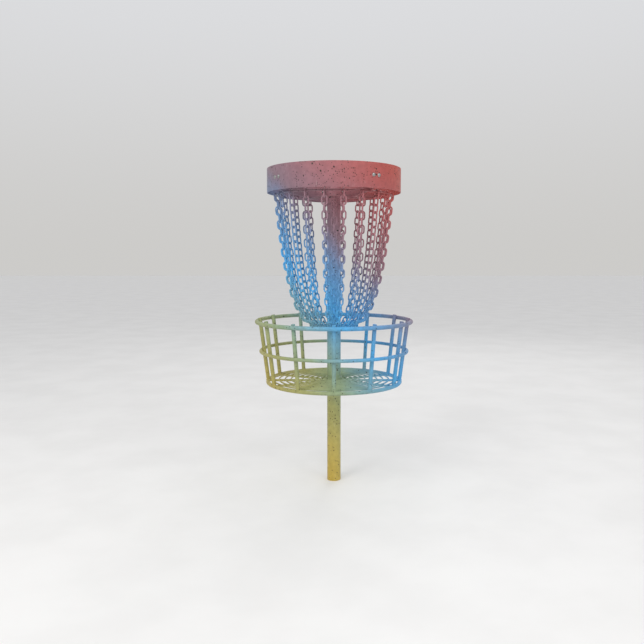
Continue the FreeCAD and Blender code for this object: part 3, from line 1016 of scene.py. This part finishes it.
# ---------------------------------------------------------------- hanger

def underside(radius):
    """Height of the arms' lower edge, which runs through both chain rings."""
    rise = (OUTER_HEIGHT - INNER_HEIGHT) / (OUTER_RADIUS - INNER_RADIUS)
    return INNER_HEIGHT + (radius - INNER_RADIUS) * rise


def make_arms():
    for number in range(ARM_COUNT):
        softened_copy("hanger_arm_%d" % (number + 1), 0.0006)


def make_hanger_welds():
    """Beads where the arms meet the collar, both chain rings and their tabs."""
    shapes = []
    collar = half_width("hanger_collar")
    tab_face = half_width("band") - BAND_SHEET - TAB_THICKNESS
    tab_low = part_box("hanger_arm_1")[1].z - TAB_HEIGHT
    for bearing in even_bearings(ARM_COUNT, FIRST_ARM):
        for side in (-1, 1):
            across = side * (ARM_HALF_THICKNESS + 0.0003)
            for radius, base, top in (
                    (collar, underside(collar), underside(collar) + ARM_DEPTH),
                    (tab_face, tab_low, underside(tab_face) + ARM_DEPTH)):
                path = [
                    place(bearing, radius, base + 0.002, across),
                    place(bearing, radius, top - 0.002, across),
                ]
                shapes.append(bead(path, ARM_WELD, closed=False))
            for radius, height in ((OUTER_RADIUS, OUTER_HEIGHT), (INNER_RADIUS, INNER_HEIGHT)):
                path = []
                steps = 12
                for step in range(steps + 1):
                    angle = math.radians(8 + 180.0 * step / steps)
                    path.append(place(
                        bearing, radius + HANG_ROD * math.cos(angle),
                        height + HANG_ROD * math.sin(angle), across))
                shapes.append(bead(path, HANG_WELD, closed=False))
    add_piece("hanger_welds", shapes, "band_coat", crease=80)


# ---------------------------------------------------------------- cage

def rib_line():
    """Foot and lean of a rib, as a radius, a height and the radius gained for each metre up."""
    foot = FLOOR_HEIGHT + SADDLE_DEPTH
    lean = (RIM_RADIUS - RIB_INSET - FLOOR_RADIUS) / (RIM_HEIGHT - foot)
    return foot, lean


def rib_radius(height):
    foot, lean = rib_line()
    return FLOOR_RADIUS + (height - foot) * lean


def make_ribs():
    """Rods from the floor rim up, cut square at the top with the edge rounded over."""
    foot, _ = rib_line()
    for number, bearing in enumerate(even_bearings(RIB_COUNT)):
        node = "rib_%02d" % (number + 1)
        start = place(bearing, rib_radius(foot), foot)
        end = place(bearing, rib_radius(RIB_TOP), RIB_TOP)
        direction = (end - start).normalized()
        path = [start, start.lerp(end, 0.33), start.lerp(end, 0.67)]
        radii = [RIB_ROD] * 3
        steps = 6
        rounding = 0.0022
        for step in range(steps + 1):
            angle = math.pi / 2 * step / steps
            path.append(end - direction * (rounding * (1 - math.sin(angle))))
            radii.append(RIB_ROD - rounding * (1 - math.cos(angle)))
        shape = tube(path, radii, 28)
        add_piece(node + "_rod", [shape], "cage_coat", [node])


def make_cage_welds():
    """Beads round every place where a rib meets a ring."""
    shapes = []
    foot, lean = rib_line()
    for bearing in even_bearings(RIB_COUNT):
        along = (outward(bearing) * lean + UP).normalized()
        across = sideways(bearing)
        normal = across.cross(along)
        if normal.dot(outward(bearing)) < 0:
            normal = -normal
        for ring_radius, height, rod in ((RIM_RADIUS, RIM_HEIGHT, RIM_ROD),
                                         (MID_RADIUS, MID_HEIGHT, MID_ROD)):
            centre = place(bearing, rib_radius(height), height)
            offset = ring_radius - rib_radius(height)
            shapes.append(crossing_bead(
                centre, normal, across, along, RIB_ROD, rod, offset, RIB_WELD))
        path = []
        steps = 24
        for step in range(steps):
            angle = 2 * math.pi * step / steps
            out = 0.95 * RIB_ROD * math.cos(angle)
            rise = math.sqrt(max(0.0, FLOOR_ROD ** 2 - out ** 2))
            path.append(place(
                bearing, FLOOR_RADIUS + out, FLOOR_HEIGHT + rise,
                1.03 * RIB_ROD * math.sin(angle)))
        shapes.append(bead(path, FOOT_WELD))
    add_piece("cage_welds", shapes, "cage_coat", crease=80)


def make_floor_grille():
    """Spokes from the collar to the rim and the rings that lie on them."""
    rings = []
    count = 0
    radius = FLOOR_FIRST
    while radius < GRILLE_RADIUS + 0.001:
        weld_at = 11.0 + 137.0 * count
        steps = 96 + 16 * count
        rings.append(rod_ring(radius, GRILLE_HEIGHT, GRILLE_ROD, weld_at, 16, steps))
        radius += FLOOR_RING_PITCH
        count += 1
    add_piece("grille_rings", rings, "floor_coat", ["floor_rings"], crease=60)
    collar = half_width("cage_collar")
    bars = []
    for bearing in even_bearings(RIB_COUNT):
        start = place(bearing, collar - 0.0005, FLOOR_HEIGHT)
        end = place(bearing, FLOOR_RADIUS - 0.004, FLOOR_HEIGHT)
        bars.append(tube([start, end], SPOKE_ROD, 24))
    add_piece("grille_spokes", bars, "floor_coat", ["floor_spokes"])
    return count


def make_floor_welds(ring_count):
    """Small beads at every crossing of the floor and at both ends of every spoke."""
    shapes = []
    collar = half_width("cage_collar")
    offset = GRILLE_HEIGHT - FLOOR_HEIGHT
    for bearing in even_bearings(RIB_COUNT):
        for number in range(ring_count):
            centre = place(bearing, FLOOR_FIRST + number * FLOOR_RING_PITCH, FLOOR_HEIGHT)
            shapes.append(crossing_bead(
                centre, UP, sideways(bearing), outward(bearing),
                SPOKE_ROD, GRILLE_ROD, offset, GRILLE_WELD))
        near = []
        far = []
        steps = 20
        for step in range(steps):
            angle = 2 * math.pi * step / steps
            across = SPOKE_ROD * math.cos(angle)
            rise = SPOKE_ROD * math.sin(angle)
            height = FLOOR_HEIGHT + rise
            near.append(place(bearing, math.sqrt(collar ** 2 - across ** 2), height, across))
            reach = FLOOR_RADIUS - math.sqrt(FLOOR_ROD ** 2 - rise ** 2)
            far.append(place(bearing, reach, height, across))
        shapes.append(bead(near, SPOKE_WELD))
        shapes.append(bead(far, SPOKE_WELD))
    add_piece("grille_welds", shapes, "floor_coat", crease=80)


# ---------------------------------------------------------------- chains

def loose_parts(node):
    """Points of each separate solid of a node, as lists of vectors."""
    form = bmesh.new()
    form.from_mesh(frame["nodes"][node].data)
    bmesh.ops.remove_doubles(form, verts=form.verts, dist=1e-6)
    parts = []
    seen = set()
    for seed in form.verts:
        if seed in seen:
            continue
        seen.add(seed)
        stack = [seed]
        part = []
        while stack:
            vertex = stack.pop()
            part.append(vertex.co.copy())
            for edge in vertex.link_edges:
                other = edge.other_vert(vertex)
                if other not in seen:
                    seen.add(other)
                    stack.append(other)
        parts.append(part)
    form.free()
    return parts


def link_frame(points):
    """Place and directions of one link: Z along it, Y square to its flat."""
    cloud = np.array([tuple(point) for point in points])
    centre = cloud.mean(axis=0)
    _, axes = np.linalg.eigh(np.cov((cloud - centre).T))
    middle = np.zeros(3)
    for axis in axes.T:
        reach = (cloud - centre) @ axis
        middle += axis * (reach.min() + reach.max()) / 2
    centre = centre + middle
    flat = Vector(axes[:, 0])
    long = Vector(axes[:, 2])
    if long.z < 0:
        long = -long
    width = flat.cross(long).normalized()
    matrix = Matrix((width, flat, long)).transposed().to_4x4()
    matrix.translation = Vector(centre)
    return matrix


def make_chain(node, link):
    """One chain of welded links, each turned one way or the other, on the body of its name."""
    link_points, link_faces, link_wear = link
    links = []
    for part in loose_parts(node):
        matrix = link_frame(part)
        if random.random() < 0.5:
            matrix = matrix @ Matrix.Rotation(math.pi, 4, "Z")
        links.append(moved((link_points, link_faces), matrix))
    chain = add_piece(node + "_links", links, slot_of(node), [node], node, crease=60)
    attribute = chain.data.attributes.new("wear", "FLOAT", "POINT")
    attribute.data.foreach_set("value", link_wear * len(links))


# ---------------------------------------------------------------- everything

make_ring("outer_chain_ring", 200.0, sides=20)
make_ring("inner_chain_ring", 130.0, sides=20)
make_ring("floor_rim", 163.0)
make_ring("mid_ring", 197.0)
make_ring("top_rim", 168.0)
make_ring("collector_ring", 75.0, COLLECTOR_BODY, sides=20)
make_pole_tube()
make_cap()
make_collar_sleeve("hanger_collar", HANGER_BOLT_HEIGHT)
make_collar_sleeve("cage_collar", CAGE_BOLT_HEIGHT)
make_collar_bolts()
make_band_sheet()
softened_copy("band_seam_strap", 0.0003)
make_band_bolts()
make_rivets()
make_arms()
make_hanger_welds()
make_ribs()
make_cage_welds()
make_floor_welds(make_floor_grille())
chain_link = link_shape()
for body in frame["bodies"]:
    if "_chain_" in body:
        make_chain(body, chain_link)


# ---------------------------------------------------------------- stage, light and camera

def add_floor():
    """Wide pale floor."""
    mesh = bpy.data.meshes.new("floor")
    corners = [(x * FLOOR_REACH, y * FLOOR_REACH, 0)
               for x, y in ((-1, -1), (1, -1), (1, 1), (-1, 1))]
    mesh.from_pydata(corners, [], [(0, 1, 2, 3)])
    floor = new_object("studio_floor", mesh)
    nodes = Nodes("studio_floor")
    tone = nodes.ramp(nodes.noise(3.0, 4.0), 0.3, 0.7)
    colour = nodes.mix(tone, STONE, (0.84, 0.83, 0.81, 1.0))
    nodes.surface("Base Color", colour)
    nodes.surface("Roughness", nodes.ramp(nodes.noise(20.0), 0.3, 0.7, 0.55, 0.65))
    mesh.materials.append(nodes.material)


def add_light(name, bearing, distance, height, width, power, colour=WHITE):
    """Soft box that faces the basket."""
    data = bpy.data.lights.new(name, "AREA")
    data.shape = "RECTANGLE"
    data.size = width
    data.size_y = width
    data.energy = power
    data.color = colour
    light = new_object(name, data)
    light.location = place(bearing, distance, height)
    facing = UP * LIGHT_AIM - light.location
    light.rotation_mode = "QUATERNION"
    light.rotation_quaternion = facing.to_track_quat("-Z", "Y")


def add_world():
    """Even studio light that is a little dimmer at the horizon, where it meets the floor."""
    world = bpy.data.worlds.new("studio")
    world.use_nodes = True
    tree = world.node_tree
    background = tree.nodes["Background"]
    background.inputs["Strength"].default_value = WORLD_STRENGTH
    coordinates = tree.nodes.new("ShaderNodeTexCoord")
    split = tree.nodes.new("ShaderNodeSeparateXYZ")
    tree.links.new(coordinates.outputs["Generated"], split.inputs[0])
    rise = tree.nodes.new("ShaderNodeMapRange")
    rise.interpolation_type = "SMOOTHSTEP"
    tree.links.new(split.outputs["Z"], rise.inputs["Value"])
    rise.inputs["From Min"].default_value = -0.02
    rise.inputs["From Max"].default_value = 0.45
    sky = tree.nodes.new("ShaderNodeMix")
    sky.data_type = "RGBA"
    tree.links.new(rise.outputs["Result"], sky.inputs[0])
    sky.inputs[6].default_value = STONE
    sky.inputs[7].default_value = (0.96, 0.97, 1.0, 1.0)
    tree.links.new(sky.outputs[2], background.inputs["Color"])
    bpy.context.scene.world = world


def add_camera():
    """Camera straight in front of the basket, between band and rim, looking slightly down."""
    data = bpy.data.cameras.new("camera")
    data.lens = 37.23
    data.sensor_width = 36.0
    data.shift_x = -0.0185
    data.shift_y = -0.0295
    data.clip_start = 0.05
    data.clip_end = 60.0
    camera = new_object("camera", data)
    camera.location = (0.0, -2.787, 0.948)
    camera.rotation_euler = (math.radians(86.0), 0.0, 0.0)
    bpy.context.scene.camera = camera


add_floor()
add_world()
add_light("key", -38.0, 3.8, 3.6, 1.8, 60.0, (1.0, 0.985, 0.96))
add_light("fill", 48.0, 4.4, 3.6, 2.4, 38.0, (0.96, 0.98, 1.0))
add_light("front", 4.0, 5.6, 3.6, 2.0, 60.0)
add_light("back", 160.0, 3.8, 3.6, 2.0, 26.0)
add_camera()
bpy.context.scene.view_settings.view_transform = "Standard"
bpy.context.scene.view_settings.look = "None"
